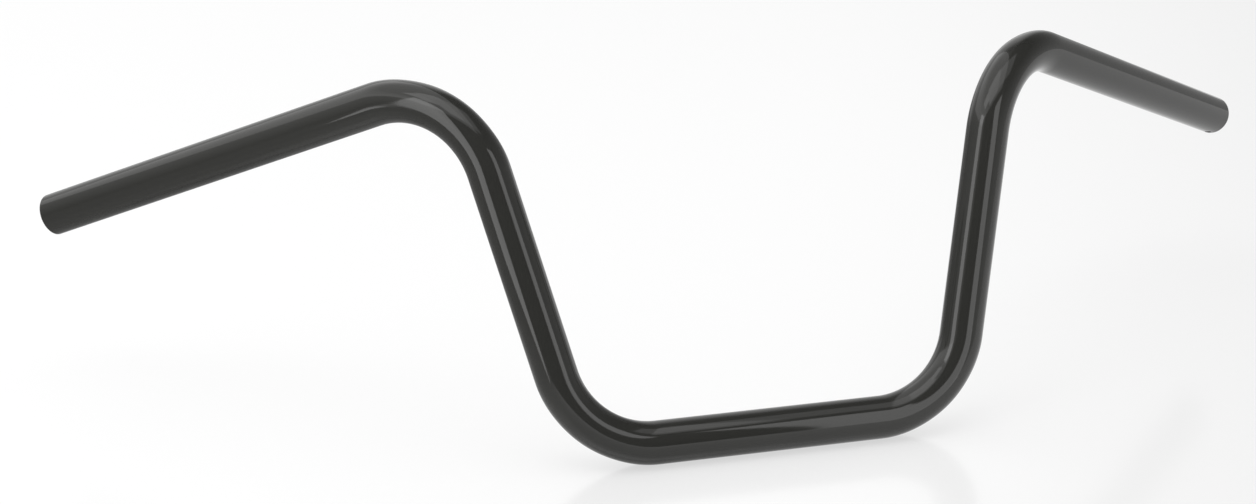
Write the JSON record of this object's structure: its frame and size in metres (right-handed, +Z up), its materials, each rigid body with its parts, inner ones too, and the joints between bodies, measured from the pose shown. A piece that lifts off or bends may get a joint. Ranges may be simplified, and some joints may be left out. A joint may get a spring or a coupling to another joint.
{
  "type": "motorcycle handlebar",
  "caption": "One-piece motorcycle handlebar of bent round steel tube in gloss black, with upright risers, swept-back drooping arms and open tube ends.",
  "frame": {"origin": "middle of the straight clamp stretch, on the tube's centre line", "axes": "+X along the clamp stretch to the right as the picture shows it, +Z up as the bar stands in the picture, +Y to the rear, where the arms sweep"},
  "size_m": [0.7988, 0.2496, 0.2157],
  "materials": {
    "black_coat": "gloss black powder coat or paint over steel tube"
  },
  "bodies": {
    "root": {"handlebar": "black_coat"}
  },
  "joints": []
}
